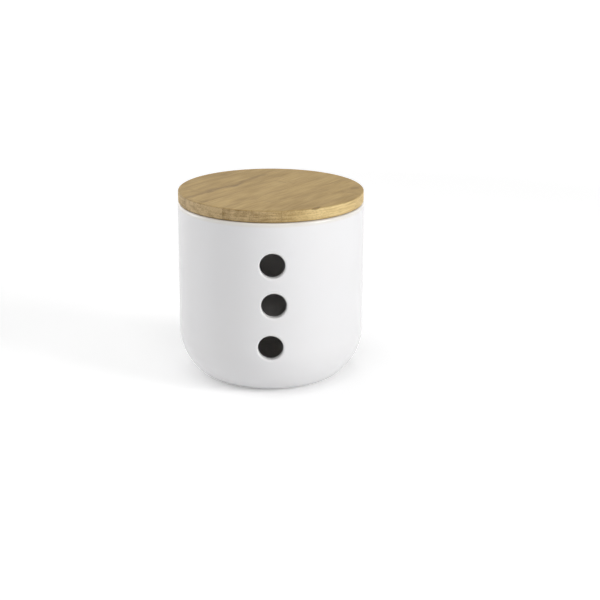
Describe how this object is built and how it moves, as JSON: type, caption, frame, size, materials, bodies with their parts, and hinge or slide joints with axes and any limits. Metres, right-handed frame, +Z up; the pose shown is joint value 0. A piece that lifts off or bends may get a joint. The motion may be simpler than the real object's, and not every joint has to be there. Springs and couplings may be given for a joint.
{
  "type": "garlic keeper",
  "caption": "Round glazed ceramic garlic keeper with a column of vent holes and a bamboo lid held by a silicone ring.",
  "frame": {"origin": "middle of the crock's foot, on the surface it stands on", "axes": "+Z up along the axis of the crock, through the lid; the column of vent holes faces -Y; +X is to the right as one faces the vents"},
  "size_m": [0.12, 0.12, 0.1222],
  "materials": {
    "white_glaze": "gloss",
    "silicone": "matte",
    "bamboo_plug": "satin",
    "bamboo_board": "satin"
  },
  "bodies": {
    "crock": {"crock": "white_glaze"},
    "seal_ring": {"seal_ring": "silicone"},
    "lid": {"lid_plug": "bamboo_plug", "lid_strip_1": "bamboo_board", "lid_strip_2": "bamboo_board", "lid_strip_3": "bamboo_board", "lid_strip_4": "bamboo_board", "lid_strip_5": "bamboo_board", "lid_strip_6": "bamboo_board", "lid_strip_7": "bamboo_board"}
  },
  "joints": [
    {"name": "lid_lift", "type": "slide", "parent": "crock", "child": "seal_ring", "axis": [0, 0, 1], "range_m": [0, 0.08]},
    {"name": "lid_turn", "type": "hinge", "parent": "seal_ring", "child": "lid", "pos_m": [0, 0, 0.11], "axis": [0, 0, 1], "continuous": true}
  ]
}
